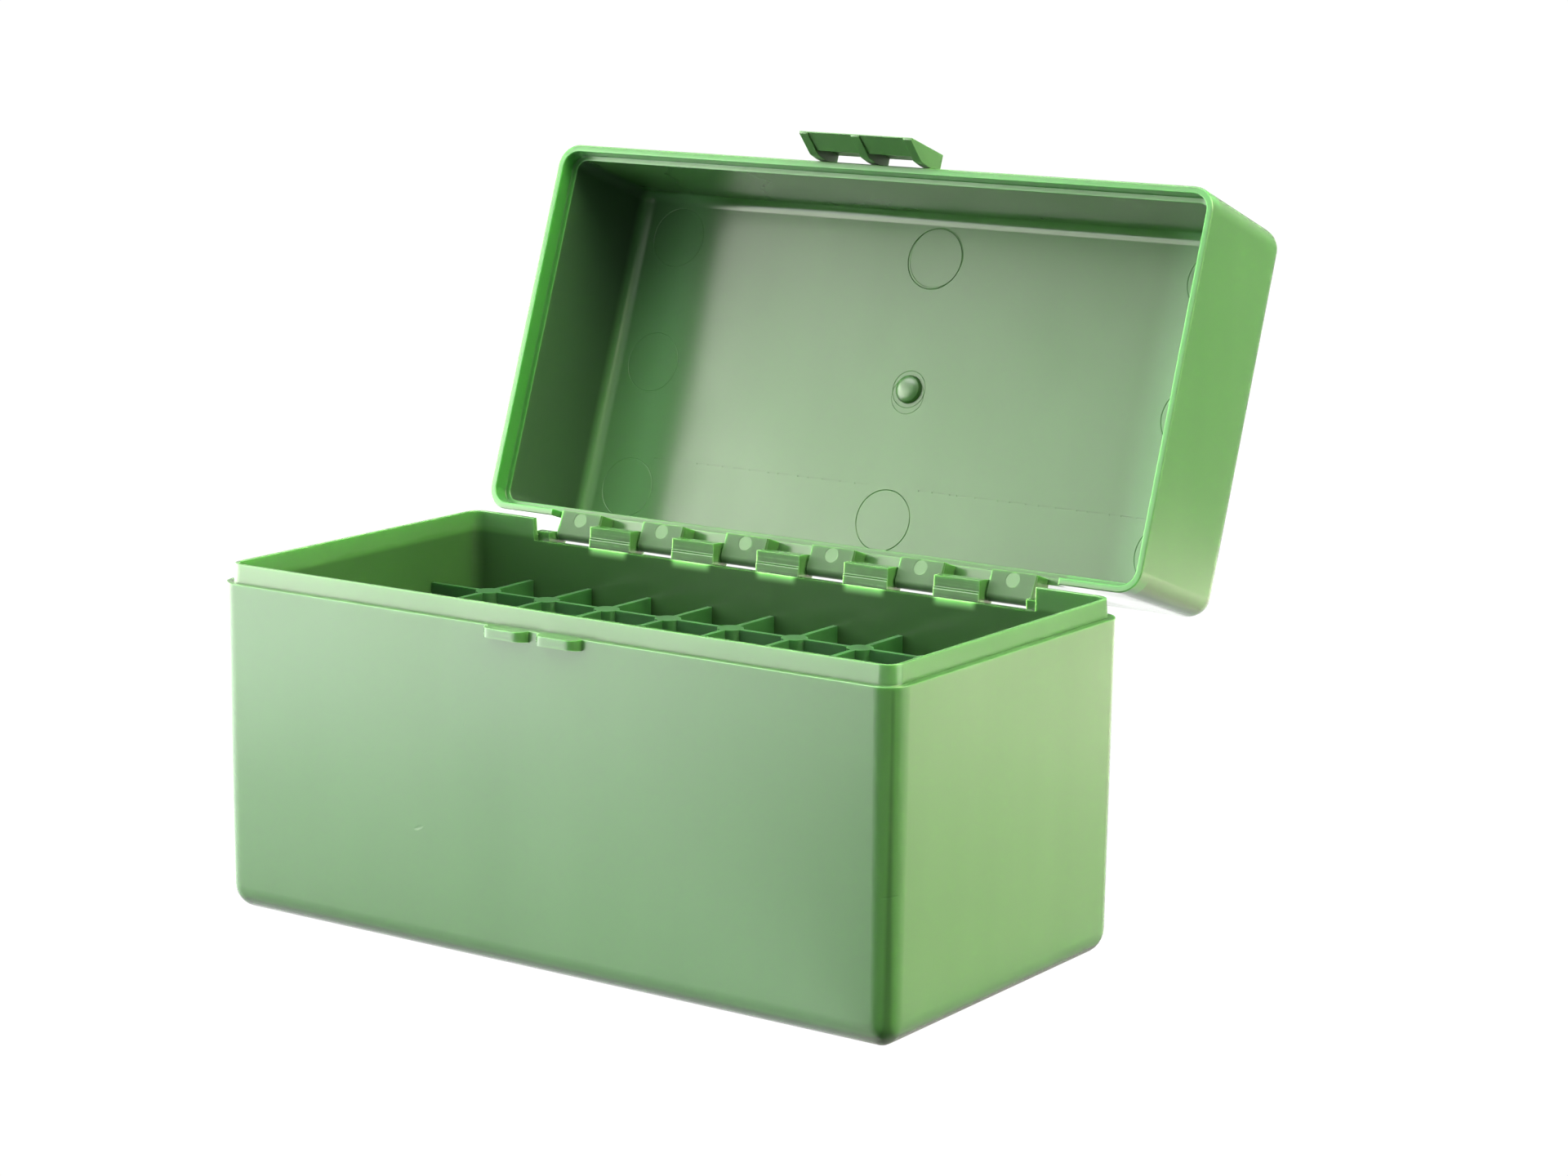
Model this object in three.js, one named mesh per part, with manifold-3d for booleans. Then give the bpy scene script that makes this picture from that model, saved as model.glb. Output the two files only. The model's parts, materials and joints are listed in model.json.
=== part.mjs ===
// A divided flip-top box: a deep base with a locating lip, a lid on a row of moulded knuckles, a snap
// catch on the lid's front rim, and a lift-out grid of ribs and posts that makes fifty square cells.
// Units are millimetres. +X is along the long side, -Y is the front, +Z is up. The origin is the centre
// of the base's underside. The lid is shown thrown back on its stop.
import * as THREE from 'three';
import { mergeVertices } from 'three/addons/utils/BufferGeometryUtils.js';
import Module from 'manifold-3d';

const wasm = await Module();
wasm.setup();

// Driving dimensions
const LENGTH = 150; // base, at the shoulder
const DEPTH = 75.4; // base, at the shoulder
const BASE_HEIGHT = 62.7; // to the shoulder that the lid's rim meets
const CLOSED_HEIGHT = 95.8; // to the lid's top, when shut
const LID_OPEN_DEG = 109.4; // from shut to the stop

// Mouldings
const GAP = 0.3; // running clearance between separate mouldings
const DRAFT = 0.6; // how far a base wall leans in over its height, on each side
const LID_DRAFT = 0.5;
const FLOOR = 1.8;
const WALL_CORNER = 4.6; // vertical corners, in plan
const BASE_EDGE = 5; // rounding along the base's bottom edges
const LIP_INSET = 1.4;
const LIP_HEIGHT = 3.4;
const LIP_THICKNESS = 1.05;
const LID_PROUD = 0.25; // how far the lid stands outside the base's wall, on each side
const LID_RIM = LIP_INSET + LID_PROUD - GAP; // thickness of the lid's rim outside the lip
const LID_WALL = 2.4;
const LID_TOP = 3.6;
const LID_EDGE = 5.5;
const LID_INNER_EDGE = 1.5; // rounding round the ceiling
const LID_INNER_DRAFT = 0.2;

// Hinge, along the top of the back wall
const HINGE = { y: 40.8, z: 63 }; // its axis, parallel to X
const BARREL = 2; // radius of the knuckles and tabs
const KNUCKLE_PITCH = 20;
const KNUCKLE_WIDTH = 9.8;
const TAB_WIDTH = 9.5;
const NOTCH_HALF = 57.8; // half length of the gap in the base's back lip
const NOTCH_FLOOR = 61.1;
const STUB_TOP = 63.3; // of the low blocks that end the row
const PIP_RADIUS = 1;
const PIP_REACH = 1.3; // how far a pip stands out of its knuckle
const SOCKET_DEPTH = 1.4;

// Catch
const CATCH_HALF = 12.85;
const CATCH_FACE = -41.8;
const CATCH_TIP = 55.6; // height of the blunt lower edge
const CATCH_PLATE = 1.45; // thickness of the plate over the lugs
const CATCH_TOP = 67.7;
const CATCH_RIB = 1.9;
const LUG_CENTRE = 5.85; // each lug's distance from the middle
const LUG_WIDTH = 9.2;
const LUG_REACH = 2.35;
const LUG_HEIGHT = 2;

// Divider insert
const CELL_X = 14.55;
const CELL_Y = 14.2;
const CROSS_RIBS = 9;
const LONG_RIBS = 4;
const RIB = 1;
const POST_RADIUS = 2.5;
const DIVIDER_TOP = 53.6;
const RIB_CORNER = 3.2; // cut off each rib's lower corners, to clear the rounding along the floor

// Worked out from the above
const HALF_X = LENGTH / 2;
const HALF_Y = DEPTH / 2;
const INNER_X = HALF_X - LIP_INSET - LIP_THICKNESS;
const INNER_Y = HALF_Y - LIP_INSET - LIP_THICKNESS;
const LIP_TOP = BASE_HEIGHT + LIP_HEIGHT;
const RIM = BASE_HEIGHT + GAP; // the lid's lower edge, when shut
const LID_X = HALF_X + LID_PROUD;
const LID_Y = HALF_Y + LID_PROUD;
const DIVIDER_FOOT = FLOOR + GAP;

// Manifold <-> three.js
function solid(geometry) {
  const bare = new THREE.BufferGeometry();
  bare.setAttribute('position', geometry.getAttribute('position'));
  bare.setIndex(geometry.getIndex());
  const merged = mergeVertices(bare, 1e-4);
  return new wasm.Manifold(new wasm.Mesh({
    numProp: 3,
    vertProperties: new Float32Array(merged.getAttribute('position').array),
    triVerts: new Uint32Array(merged.getIndex().array),
  }));
}

function geometryOf(manifold) {
  const mesh = manifold.getMesh();
  const geometry = new THREE.BufferGeometry();
  geometry.setAttribute('position', new THREE.BufferAttribute(mesh.vertProperties, 3));
  geometry.setIndex(new THREE.BufferAttribute(mesh.triVerts, 1));
  geometry.computeVertexNormals();
  return geometry;
}

// A box between two corners
function box(x0, x1, y0, y1, z0, z1) {
  const geometry = new THREE.BoxGeometry(x1 - x0, y1 - y0, z1 - z0);
  geometry.translate((x0 + x1) / 2, (y0 + y1) / 2, (z0 + z1) / 2);
  return solid(geometry);
}

// An outline in (y, z), extruded along X between x0 and x1
function alongX(shape, x0, x1) {
  const depth = x1 - x0;
  const geometry = new THREE.ExtrudeGeometry(shape, { depth, bevelEnabled: false, curveSegments: 6 });
  // the outline's plane turns so that its first axis is +Y and its second is +Z
  geometry.applyMatrix4(new THREE.Matrix4().makeBasis(
    new THREE.Vector3(0, 1, 0), new THREE.Vector3(0, 0, 1), new THREE.Vector3(1, 0, 0)));
  geometry.translate(x0, 0, 0);
  return solid(geometry);
}

// An outline in (x, z), extruded along Y between y0 and y1
function alongY(shape, y0, y1) {
  const depth = y1 - y0;
  const geometry = new THREE.ExtrudeGeometry(shape, { depth, bevelEnabled: false, curveSegments: 6 });
  geometry.rotateX(Math.PI / 2);
  geometry.translate(0, y1, 0);
  return solid(geometry);
}

// An outline in (x, y), extruded along Z between z0 and z1
function alongZ(shape, z0, z1) {
  const depth = z1 - z0;
  const geometry = new THREE.ExtrudeGeometry(shape, { depth, bevelEnabled: false, curveSegments: 4 });
  geometry.translate(0, 0, z0);
  return solid(geometry);
}

function outline(points) {
  return new THREE.Shape(points.map(([a, b]) => new THREE.Vector2(a, b)));
}

// A rectangle with round corners, centred on the origin
function roundedPlan(halfX, halfY, r) {
  const shape = new THREE.Shape();
  shape.absarc(halfX - r, -halfY + r, r, -Math.PI / 2, 0);
  shape.absarc(halfX - r, halfY - r, r, 0, Math.PI / 2);
  shape.absarc(-halfX + r, halfY - r, r, Math.PI / 2, Math.PI);
  shape.absarc(-halfX + r, -halfY + r, r, Math.PI, 1.5 * Math.PI);
  shape.closePath();
  return shape;
}

// A wall-to-wall section whose far edges (at height far) are rounded with radius r, and whose sides lean
// in by draft between the near height and the far one. The section is wide at near.
function leaningSection(half, near, far, draft, r) {
  const up = Math.sign(far - near);
  const shape = new THREE.Shape();
  const tip = half - draft;
  shape.moveTo(-half, near);
  shape.lineTo(half, near);
  shape.lineTo(tip, far - up * r);
  shape.absarc(tip - r, far - up * r, r, 0, up * Math.PI / 2, up < 0);
  shape.absarc(-tip + r, far - up * r, r, up * Math.PI / 2, up * Math.PI, up < 0);
  shape.closePath();
  return shape;
}

// A moulded block: round vertical corners, round edges at the far height, leaning sides
function moulding({ halfX, halfY, near, far, draft, edge, corner }) {
  const low = Math.min(near, far);
  const high = Math.max(near, far);
  return alongZ(roundedPlan(halfX, halfY, corner), low, high)
    .intersect(alongY(leaningSection(halfX, near, far, draft, edge), -halfY - 1, halfY + 1))
    .intersect(alongX(leaningSection(halfY, near, far, draft, edge), -halfX - 1, halfX + 1));
}

function spaced(count, pitch) {
  return Array.from({ length: count }, (_, i) => (i - (count - 1) / 2) * pitch);
}

function cylinderAlongX(radius, x0, x1, y, z, sides = 12) {
  const geometry = new THREE.CylinderGeometry(radius, radius, x1 - x0, sides);
  geometry.rotateZ(Math.PI / 2);
  geometry.translate((x0 + x1) / 2, y, z);
  return solid(geometry);
}

const knucklePlaces = spaced(5, KNUCKLE_PITCH);
const tabPlaces = spaced(6, KNUCKLE_PITCH);

// Base: hinge knuckle, from the back wall out round the hinge's axis, on a sloping support
function baseKnuckle(x0, x1) {
  const front = HALF_Y - 1.1;
  const shape = new THREE.Shape();
  shape.moveTo(front, BASE_HEIGHT - 5);
  shape.lineTo(HALF_Y - 0.2, BASE_HEIGHT - 5);
  shape.absarc(HINGE.y, HINGE.z, BARREL, -Math.PI / 3, Math.PI / 2);
  shape.lineTo(front, HINGE.z + BARREL + 0.3);
  shape.closePath();
  return alongX(shape, x0, x1);
}

// Base: a low cradle at each end of the row of knuckles. It stops short of the outermost tab.
function endStub(side) {
  const shape = outline([
    [HALF_Y - 1.1, BASE_HEIGHT - 5], [HALF_Y - 0.2, BASE_HEIGHT - 5], [HINGE.y + 1.4, HINGE.z - 2.2],
    [HINGE.y + 1.4, HINGE.z - 0.6], [HALF_Y + 0.7, STUB_TOP], [HALF_Y - 1.1, STUB_TOP],
  ]);
  const inner = side * (tabPlaces[5] + TAB_WIDTH / 2 + GAP);
  const outer = side * (NOTCH_HALF + 0.5);
  return alongX(shape, Math.min(inner, outer), Math.max(inner, outer));
}

// Base: round pips on both ends of each knuckle, which the lid's tabs turn on
function pips() {
  const faces = [];
  for (const x of knucklePlaces) faces.push([x - KNUCKLE_WIDTH / 2, -1], [x + KNUCKLE_WIDTH / 2, 1]);
  return faces.map(([x, direction]) => {
    const root = x - direction;
    const end = x + direction * PIP_REACH;
    return cylinderAlongX(PIP_RADIUS, Math.min(root, end), Math.max(root, end), HINGE.y, HINGE.z);
  });
}

// Base: a catch lug under the shoulder of the front wall, with a sloping underside and round ends
function lug(centre) {
  const wall = -HALF_Y + 0.4;
  const face = -HALF_Y - LUG_REACH;
  const section = outline([
    [wall, BASE_HEIGHT - LUG_HEIGHT], [wall, BASE_HEIGHT - 0.05],
    [face, BASE_HEIGHT - 0.05], [face, BASE_HEIGHT - LUG_HEIGHT + 0.6],
  ]);
  const plan = new THREE.Shape();
  const flat = LUG_WIDTH / 2 - 2.4;
  plan.moveTo(centre + LUG_WIDTH / 2, wall);
  plan.lineTo(centre - LUG_WIDTH / 2, wall);
  plan.absellipse(centre - flat, wall, 2.4, wall - face, Math.PI, 1.5 * Math.PI);
  plan.absellipse(centre + flat, wall, 2.4, wall - face, 1.5 * Math.PI, 2 * Math.PI);
  plan.closePath();
  return alongX(section, centre - LUG_WIDTH, centre + LUG_WIDTH)
    .intersect(alongZ(plan, BASE_HEIGHT - 4, BASE_HEIGHT + 1));
}

function makeBase() {
  const tub = moulding({
    halfX: HALF_X, halfY: HALF_Y, near: BASE_HEIGHT, far: 0,
    draft: DRAFT, edge: BASE_EDGE, corner: WALL_CORNER,
  });
  const lip = alongZ(
    roundedPlan(HALF_X - LIP_INSET, HALF_Y - LIP_INSET, WALL_CORNER - LIP_INSET), BASE_HEIGHT - 3, LIP_TOP);
  const hollow = moulding({
    halfX: INNER_X, halfY: INNER_Y, near: LIP_TOP + 1, far: FLOOR,
    draft: DRAFT, edge: 2.8, corner: WALL_CORNER - LIP_INSET - LIP_THICKNESS,
  });
  let body = tub.add(lip).subtract(hollow)
    .subtract(box(-NOTCH_HALF, NOTCH_HALF, INNER_Y - 2, HALF_Y + 2, NOTCH_FLOOR, LIP_TOP + 1));
  for (const x of knucklePlaces) body = body.add(baseKnuckle(x - KNUCKLE_WIDTH / 2, x + KNUCKLE_WIDTH / 2));
  for (const side of [-1, 1]) body = body.add(endStub(side)).add(lug(side * LUG_CENTRE));
  for (const pip of pips()) body = body.add(pip);
  return body;
}

// Lid, drawn shut. A tab hangs from the back wall and wraps the hinge's axis.
function lidTab(centre) {
  const inside = HINGE.y - 3.95;
  const wall = LID_Y - 0.2;
  const shape = new THREE.Shape();
  shape.moveTo(inside, LIP_TOP + 1.5);
  shape.lineTo(inside, NOTCH_FLOOR + 0.4);
  shape.absarc(HINGE.y, HINGE.z, BARREL, -Math.PI / 2, Math.PI / 2);
  shape.lineTo(wall, HINGE.z + BARREL + 1);
  shape.lineTo(wall, LIP_TOP + 1.5);
  shape.closePath();
  let tab = alongX(shape, centre - TAB_WIDTH / 2, centre + TAB_WIDTH / 2);
  for (const side of [-1, 1]) {
    const hasKnuckle = Math.abs(centre + side * KNUCKLE_PITCH / 2) < tabPlaces[5];
    if (!hasKnuckle) continue;
    const mouth = centre + side * (TAB_WIDTH / 2 + 1);
    const end = centre + side * (TAB_WIDTH / 2 - SOCKET_DEPTH);
    tab = tab.subtract(cylinderAlongX(
      PIP_RADIUS + GAP, Math.min(mouth, end), Math.max(mouth, end), HINGE.y, HINGE.z));
  }
  return tab;
}

function makeLid() {
  const shell = moulding({
    halfX: LID_X, halfY: LID_Y, near: RIM, far: CLOSED_HEIGHT,
    draft: LID_DRAFT, edge: LID_EDGE, corner: WALL_CORNER,
  });
  const rimRecess = alongZ(
    roundedPlan(LID_X - LID_RIM, LID_Y - LID_RIM, WALL_CORNER - LID_RIM), RIM - 1, LIP_TOP + GAP);
  const hollow = moulding({
    halfX: LID_X - LID_WALL, halfY: LID_Y - LID_WALL, near: RIM - 1, far: CLOSED_HEIGHT - LID_TOP,
    draft: LID_INNER_DRAFT, edge: LID_INNER_EDGE, corner: WALL_CORNER - LID_WALL,
  });
  const notchHalf = NOTCH_HALF + 0.5 + GAP; // clears the base's knuckles and end stubs
  let body = shell.subtract(rimRecess).subtract(hollow)
    .subtract(box(-notchHalf, notchHalf, LID_Y - 4, LID_Y + 1, RIM - 1, LIP_TOP));
  for (const x of tabPlaces) body = body.add(lidTab(x));
  return body;
}

// Catch, drawn shut: a plate with a slanted inner face that ends in a hook, held off the lid's wall by
// three ribs. The bays between the ribs drop over the base's lugs.
function makeCatch() {
  const root = -LID_Y - GAP;
  const plateBack = CATCH_FACE + CATCH_PLATE;
  const plate = outline([
    [CATCH_FACE, CATCH_TIP], [CATCH_FACE + 0.3, CATCH_TIP], [-39, 60.2], [plateBack, 60.5],
    [plateBack, CATCH_TOP], [CATCH_FACE, CATCH_TOP],
  ]);
  const rib = outline([
    [CATCH_FACE, CATCH_TIP], [CATCH_FACE + 0.5, CATCH_TIP], [-38.5, 60.6], [root, RIM],
    [root, CATCH_TOP], [CATCH_FACE, CATCH_TOP],
  ]);
  let body = alongX(plate, -CATCH_HALF + 0.5, CATCH_HALF - 0.5);
  for (const x of [-CATCH_HALF, -CATCH_RIB / 2, CATCH_HALF - CATCH_RIB]) {
    body = body.add(alongX(rib, x, x + CATCH_RIB));
  }
  return body;
}

// Divider insert. Long ribs carry the posts and are slotted from below; cross ribs are slotted from
// above, so the two sets cross at half height.
const dividerMiddle = (DIVIDER_FOOT + DIVIDER_TOP) / 2;

function ribOutline(half) {
  const top = half - GAP;
  const foot = top - DRAFT;
  return outline([
    [-top, DIVIDER_TOP], [-foot, DIVIDER_FOOT + RIB_CORNER], [-foot + RIB_CORNER, DIVIDER_FOOT],
    [foot - RIB_CORNER, DIVIDER_FOOT], [foot, DIVIDER_FOOT + RIB_CORNER], [top, DIVIDER_TOP],
  ].reverse());
}

function longRib(y) {
  let body = alongY(ribOutline(INNER_X), y - RIB / 2, y + RIB / 2);
  for (const x of spaced(CROSS_RIBS, CELL_X)) {
    const post = new THREE.CylinderGeometry(POST_RADIUS, POST_RADIUS, DIVIDER_TOP - DIVIDER_FOOT, 12);
    post.rotateX(Math.PI / 2);
    post.translate(x, y, dividerMiddle);
    body = body.add(solid(post));
  }
  for (const x of spaced(CROSS_RIBS, CELL_X)) {
    const half = RIB / 2 + GAP;
    body = body.subtract(box(x - half, x + half, y - 4, y + 4, DIVIDER_FOOT - 1, dividerMiddle + GAP / 2));
  }
  return body;
}

function crossRib(x) {
  let body = alongX(ribOutline(INNER_Y), x - RIB / 2, x + RIB / 2);
  for (const y of spaced(LONG_RIBS, CELL_Y)) {
    const half = POST_RADIUS + GAP;
    body = body.subtract(box(x - 2, x + 2, y - half, y + half, dividerMiddle - GAP / 2, DIVIDER_TOP + 1));
  }
  return body;
}

// Finishes
const shellGreen = { color: 0x8fbf86, roughness: 0.38, metalness: 0 };
const insertGreen = { color: 0x2f7a3a, roughness: 0.42, metalness: 0 };

function piece(name, manifold, finish) {
  const mesh = new THREE.Mesh(geometryOf(manifold), new THREE.MeshStandardMaterial(finish));
  mesh.name = name;
  return mesh;
}

const group = new THREE.Group();
group.add(piece('base', makeBase(), shellGreen));

const insert = new THREE.Group();
spaced(LONG_RIBS, CELL_Y).forEach((y, i) => {
  insert.add(piece(`divider_long_rib_${i + 1}`, longRib(y), insertGreen));
});
spaced(CROSS_RIBS, CELL_X).forEach((x, i) => {
  insert.add(piece(`divider_cross_rib_${i + 1}`, crossRib(x), insertGreen));
});
group.add(insert);

// The lid and its catch are drawn shut, and turn back together about the hinge's axis
const lidPivot = new THREE.Group();
lidPivot.position.set(0, HINGE.y, HINGE.z);
lidPivot.rotation.x = -THREE.MathUtils.degToRad(LID_OPEN_DEG);
const lidParts = new THREE.Group();
lidParts.position.set(0, -HINGE.y, -HINGE.z);
lidParts.add(piece('lid', makeLid(), shellGreen));
lidParts.add(piece('catch_tab', makeCatch(), shellGreen));
lidPivot.add(lidParts);
group.add(lidPivot);

export default group;
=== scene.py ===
import json
import math

import bmesh
import bpy
from mathutils import Matrix, Vector


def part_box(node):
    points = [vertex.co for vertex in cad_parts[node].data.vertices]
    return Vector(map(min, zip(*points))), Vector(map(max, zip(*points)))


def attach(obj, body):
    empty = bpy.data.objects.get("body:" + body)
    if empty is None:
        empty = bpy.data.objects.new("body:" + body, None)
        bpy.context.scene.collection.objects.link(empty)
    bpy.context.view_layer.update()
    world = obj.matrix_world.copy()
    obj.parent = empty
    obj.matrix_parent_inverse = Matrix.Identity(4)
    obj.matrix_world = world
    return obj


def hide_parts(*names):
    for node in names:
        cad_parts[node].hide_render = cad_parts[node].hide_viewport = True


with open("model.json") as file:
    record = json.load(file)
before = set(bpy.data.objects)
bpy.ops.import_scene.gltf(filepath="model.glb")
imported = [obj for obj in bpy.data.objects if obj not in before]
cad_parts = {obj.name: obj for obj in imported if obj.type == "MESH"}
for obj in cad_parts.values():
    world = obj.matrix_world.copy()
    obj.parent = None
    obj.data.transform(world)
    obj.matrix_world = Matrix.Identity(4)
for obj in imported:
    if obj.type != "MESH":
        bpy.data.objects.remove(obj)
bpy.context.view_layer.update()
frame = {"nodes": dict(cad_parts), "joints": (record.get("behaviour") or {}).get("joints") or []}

# ---------------------------------------------------------------------------------------------
# Dimensions, in millimetres, with the lid drawn shut. +X is along the hinge, -Y is the front.
# ---------------------------------------------------------------------------------------------
MM = 0.001
base_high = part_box("base")[1] / MM
insert_foot, insert_top = (corner.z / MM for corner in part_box("divider_long_rib_1"))
joints = {joint["name"]: joint for joint in frame["joints"]}
hinge = Vector(joints["lid_hinge"]["pos_m"]) / MM
lid_open = math.radians(joints["lid_hinge"]["range_deg"][1])

HALF_X = base_high.x
HALF_Y = 37.7
SHOULDER = 62.7
LIP_TOP = base_high.z
BASE_DRAFT = 0.6
BASE_EDGE = 5.0
CORNER = 4.6
TIGHTEST_CORNER = 0.9
FLOOR = 1.8
LIP_INSET = 1.4
LIP_THICKNESS = 1.05
LIP_LEAN = 0.24

GAP = 0.3
LID_PROUD = 0.25
LID_TOP = 95.8
LID_RIM = LIP_INSET + LID_PROUD - GAP
LID_WALL = 2.4
LID_CEILING = LID_TOP - 3.6
LID_DRAFT = 0.5
LID_EDGE = 5.5
LID_INNER_DRAFT = 0.05
LID_INNER_EDGE = 2.2
LID_X = HALF_X + LID_PROUD
LID_Y = HALF_Y + LID_PROUD
RIM = SHOULDER + GAP

BARREL = 2.0
KNUCKLES = [-40, -20, 0, 20, 40]
TABS = [-50, -30, -10, 10, 30, 50]
KNUCKLE_WIDTH = 9.8
KNUCKLE_TOP = 65.5
TAB_WIDTH = 9.5
TAB_FOOT = 61.5
TAB_SLOPE = 0.111
DOT_Y = 38.4
NOTCH_HALF = 57.8
NOTCH_FLOOR = 61.65
STUB_TOP = 63.3
STUB_END = 55.05

# Marks on the lid's ceiling: ejector pins, and the front and back of a broken flow line.
PIN_X = 63.2
PIN_Y = 26.7
PIN_RADIUS = 6.2
FLOW_LINE = (19.85, 20.1)

CATCH_HALF = 12.85
CATCH_TOP = 67.7
CATCH_FACE = -41.8
CATCH_TIP = 55.6
CATCH_PLATE = 1.45
CATCH_RIB = 1.9
LUG_CENTRE = 5.85
LUG_WIDTH = 9.2
LUG_REACH = 2.35
LUG_HEIGHT = 2.1

CELL_X = 14.55
CELL_Y = 14.2
RIB = 1.0
POST = 2.5

# ---------------------------------------------------------------------------------------------
# Light. Azimuth 0 is the front and 90 the right, in degrees
# ---------------------------------------------------------------------------------------------
# Brightness of the tent's upright wall by azimuth, and how it changes with elevation.
TENT_BAND = [
    (-180, 0.8), (-152, 0.7), (-130, 0.9), (-110, 9.0), (-80, 11.8), (-50, 11.2), (-40, 10.5), (-34, 7.5),
    (-24, 3.5), (-12, 1.3), (0, 0.4), (60, 0.3), (75, 0.4), (88, 1.2), (98, 5.0), (122, 5.0), (137, 0.6),
    (150, 0.4), (180, 0.9),
]
TENT_FALL = [
    (-60, 0.5), (-20, 0.8), (-8, 1.0), (-3, 1.14), (5, 1.05), (20, 1.28), (22, 1.22), (24, 0.56),
    (26.5, 0.24), (50, 0.1),
]
TENT_TINT = (0.96, 1.0, 0.87)
# Light from above, by elevation.
TENT_SKY = [(15, 0.0), (45, 1.7), (90, 2.0)]
# Brightness of the paper floor by azimuth, and by distance from the origin in metres.
PAPER_BAND = [
    (-180, 3.0), (-120, 5.0), (-80, 8.7), (-50, 9.2), (-34, 6.0), (-12, 1.3), (0, 0.4), (60, 0.3), (75, 0.4),
    (96, 1.2), (120, 3.4), (150, 4.4), (180, 4.2),
]
PAPER_RISE = [(0.06, 0.36), (0.10, 0.41), (0.17, 0.50), (0.24, 0.70), (0.32, 0.86)]
PAPER_TINT = [(0.06, (1.0, 1.0, 1.0)), (0.09, (1.0, 0.88, 0.76))]
PAPER_HALF = 370
PAPER_Z = -0.2
# The paper darkens to this share of its brightness where the box stands on it, within this distance.
CONTACT_SHADE = 0.5
CONTACT_REACH = 15
# The brightest level that a band or a rise may have.
BRIGHTEST = 12.0
# Lamps: azimuth, elevation, full inside this angle, gone outside this angle, brightness, colour.
LAMPS = [
    (98, 40, 14, 34, 21.0, (0.92, 0.96, 0.58)),
    (-38, 60, 12, 32, 8.0, (1.0, 1.0, 1.0)),
]

# ---------------------------------------------------------------------------------------------
# Colours
# ---------------------------------------------------------------------------------------------
SHELL_TONES = ((0.027, 0.080, 0.022), (0.038, 0.106, 0.030))
INSERT_TONES = ((0.010, 0.047, 0.012), (0.013, 0.059, 0.015))
# Painted glow: the colour of the base's thin lip, as if lit through.
LIP_GLOW_GREEN = (0.040, 0.102, 0.035)
# Painted glow: the colour of the lid's thin rim, as if lit through.
RIM_GLOW_GREEN = (0.031, 0.142, 0.029)
# Painted shade: the colour of the inside of the base's tub.
INSIDE_SHADE_GREEN = (0.020, 0.058, 0.017)
STREAK_GREEN = (0.052, 0.135, 0.045)
# Painted glow: the colour of the inner wall under each knuckle, as if lit through.
KNUCKLE_GLOW_GREEN = (0.150, 0.330, 0.130)
# Painted light: the colour of the ends of the lid's ceiling.
CORNER_LIGHT_GREEN = (0.075, 0.180, 0.075)
# Painted shade: the colour of the lid's inner end walls.
END_SHADE_GREEN = (0.026, 0.060, 0.029)
TAB_GREEN = (0.020, 0.064, 0.017)
DOT_GREEN = (0.060, 0.130, 0.052)
SHELL_ROUGHNESS = 0.22
MATT_ROUGHER = 0.46
# Bump heights, in units of the finest noise.
WAVE_HEIGHT = 60.0
NICK_DEPTH = 70.0
# Nicks: place, half sizes, turn about Y in degrees.
NICKS = [
    ((-27.0, -37.4, 23.2), (1.3, 2.0, 0.45), -22),
    ((-16.0, -37.6, 44.0), (0.24, 2.0, 0.6), 12),
    ((73.4, -36.2, 27.0), (1.4, 2.0, 0.3), -12),
]


# ---------------------------------------------------------------------------------------------
# Mesh building
# ---------------------------------------------------------------------------------------------
def new_object(name, vertices, faces):
    """A mesh object from millimetre vertices."""
    mesh = bpy.data.meshes.new(name)
    mesh.from_pydata([Vector(v) * MM for v in vertices], [], faces)
    mesh.validate()
    piece = bpy.data.objects.new(name, mesh)
    bpy.context.scene.collection.objects.link(piece)
    recalculate_normals(piece)
    return piece


def recalculate_normals(piece):
    edit = bmesh.new()
    edit.from_mesh(piece.data)
    bmesh.ops.recalc_face_normals(edit, faces=edit.faces)
    edit.to_mesh(piece.data)
    edit.free()


def join(name, pieces):
    """One object from several, whose meshes do not touch."""
    edit = bmesh.new()
    for piece in pieces:
        edit.from_mesh(piece.data)
        bpy.data.objects.remove(piece)
    mesh = bpy.data.meshes.new(name)
    edit.to_mesh(mesh)
    edit.free()
    joined = bpy.data.objects.new(name, mesh)
    bpy.context.scene.collection.objects.link(joined)
    return joined


def apply_modifiers(piece):
    bpy.context.view_layer.update()
    evaluated = piece.evaluated_get(bpy.context.evaluated_depsgraph_get())
    mesh = bpy.data.meshes.new_from_object(evaluated)
    piece.modifiers.clear()
    piece.data = mesh


def boolean(piece, other, operation):
    """Joins other to piece, or cuts it away, and removes other."""
    modifier = piece.modifiers.new("boolean", "BOOLEAN")
    modifier.operation = operation
    modifier.solver = "EXACT"
    modifier.object = other
    apply_modifiers(piece)
    bpy.data.objects.remove(other)
    return piece


def soften(piece, width, segments=3, angle=40):
    """Rounds the sharp edges."""
    bevel = piece.modifiers.new("bevel", "BEVEL")
    bevel.width = width * MM
    bevel.segments = segments
    bevel.limit_method = "ANGLE"
    bevel.angle_limit = math.radians(angle)
    bevel.use_clamp_overlap = True
    bevel.miter_outer = "MITER_ARC"
    apply_modifiers(piece)


def shade(piece, sharp=24):
    """Smooth across edges gentler than sharp degrees, with large flat faces kept flat."""
    edit = bmesh.new()
    edit.from_mesh(piece.data)
    for edge in edit.edges:
        edge.smooth = len(edge.link_faces) == 2 and edge.calc_face_angle() < math.radians(sharp)
    for face in edit.faces:
        face.smooth = True
    edit.to_mesh(piece.data)
    edit.free()
    weighted = piece.modifiers.new("weighted", "WEIGHTED_NORMAL")
    weighted.weight = 100
    weighted.keep_sharp = True
    apply_modifiers(piece)


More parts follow.
